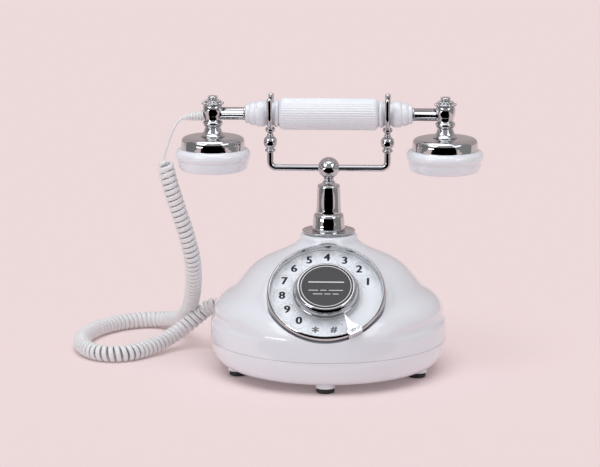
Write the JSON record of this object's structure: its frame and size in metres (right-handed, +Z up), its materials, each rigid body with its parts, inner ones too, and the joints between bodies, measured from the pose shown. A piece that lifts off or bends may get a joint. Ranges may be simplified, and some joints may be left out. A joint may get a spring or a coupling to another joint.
{
  "type": "rotary telephone",
  "caption": "Bedroom telephone with a round domed base, tilted rotary dial, chrome column and forked cradle, and a two-cup handset on a curly cord.",
  "frame": {"origin": "on the table, under the centre of the round base", "axes": "+Z up, -Y is the front with the dial, +X is the viewer's right, at the earpiece end"},
  "size_m": [0.3356, 0.2353, 0.2231],
  "materials": {
    "white_plastic": "gloss",
    "chrome": "mirror",
    "rubber_pad": "matt",
    "label": "satin",
    "clear_acrylic": "clear",
    "steel": "brushed",
    "brass_gear": "machined",
    "circuit_board": "satin",
    "dark_plastic": "matt",
    "switch_plastic": "gloss",
    "cord_plastic": "satin"
  },
  "bodies": {
    "base": {"ballast_weight": "steel", "base_pan": "white_plastic", "base_shell": "white_plastic", "column_flange": "chrome", "column_lower": "chrome", "column_nut": "steel", "column_upper": "chrome", "cord_curl": "cord_plastic", "cord_lower_lead": "cord_plastic", "cord_plug": "cord_plastic", "dial_bezel": "chrome", "dial_bridge": "steel", "dial_frame": "steel", "finger_stop": "chrome", "foot_pads": "rubber_pad", "handset_jack": "dark_plastic", "hook_switch": "dark_plastic", "line_jack": "dark_plastic", "main_circuit_board": "circuit_board", "number_plate": "white_plastic", "pan_screws": "steel", "return_spring": "steel", "ringer_speaker": "dark_plastic", "switch_block": "dark_plastic"},
    "cradle": {"plunger": "chrome", "cradle_ball": "chrome", "crossbar_left": "chrome", "crossbar_right": "chrome", "post_left": "chrome", "post_right": "chrome", "fork_left": "chrome", "fork_right": "chrome", "plunger_spring": "steel"},
    "handset": {"handset_grip": "white_plastic", "grip_weight": "steel", "grip_sleeve_left": "white_plastic", "grip_sleeve_right": "white_plastic", "arm_tube_left": "chrome", "arm_tube_right": "chrome", "mouth_post": "chrome", "ear_post": "chrome", "mouth_finial": "chrome", "ear_finial": "chrome", "mouth_cup": "chrome", "ear_cup": "chrome", "mouth_cap": "white_plastic", "ear_cap": "white_plastic", "microphone_capsule": "dark_plastic", "earpiece_speaker": "dark_plastic", "mouth_weight": "steel", "strain_relief": "cord_plastic", "cord_upper_lead": "cord_plastic"},
    "dial_wheel": {"finger_wheel": "clear_acrylic", "dial_hub": "chrome", "label_card": "label", "dial_shaft": "steel", "main_gear": "brass_gear"},
    "governor": {"governor_rotor": "brass_gear"},
    "ringer_slider": {"ringer_switch": "switch_plastic"}
  },
  "joints": [
    {"name": "handset_lift", "type": "slide", "parent": "base", "child": "handset", "axis": [0, 0, 1], "range_m": [0, 0.08]},
    {"name": "cradle_rise", "type": "slide", "parent": "base", "child": "cradle", "axis": [0, 0, 1], "range_m": [0, 0.005], "deforming": ["plunger_spring"]},
    {"name": "dial_turn", "type": "hinge", "parent": "base", "child": "dial_wheel", "pos_m": [0, -0.058, 0.075], "axis": [0, 0.6428, -0.766], "range_deg": [0, 336], "stiffness_Nm_per_rad": 0.004},
    {"name": "governor_spin", "type": "hinge", "parent": "base", "child": "governor", "pos_m": [-0.0288, -0.058, 0.075], "axis": [0, 0.6428, -0.766], "range_deg": [-1680, 0]},
    {"name": "ringer_slide", "type": "slide", "parent": "base", "child": "ringer_slider", "axis": [1, 0, 0], "range_m": [-0.0035, 0.0035]}
  ],
  "couplings": [
    {"joint": "cradle_rise", "follows": "handset_lift", "ratio": 0.0625},
    {"joint": "governor_spin", "follows": "dial_turn", "ratio": -5}
  ]
}
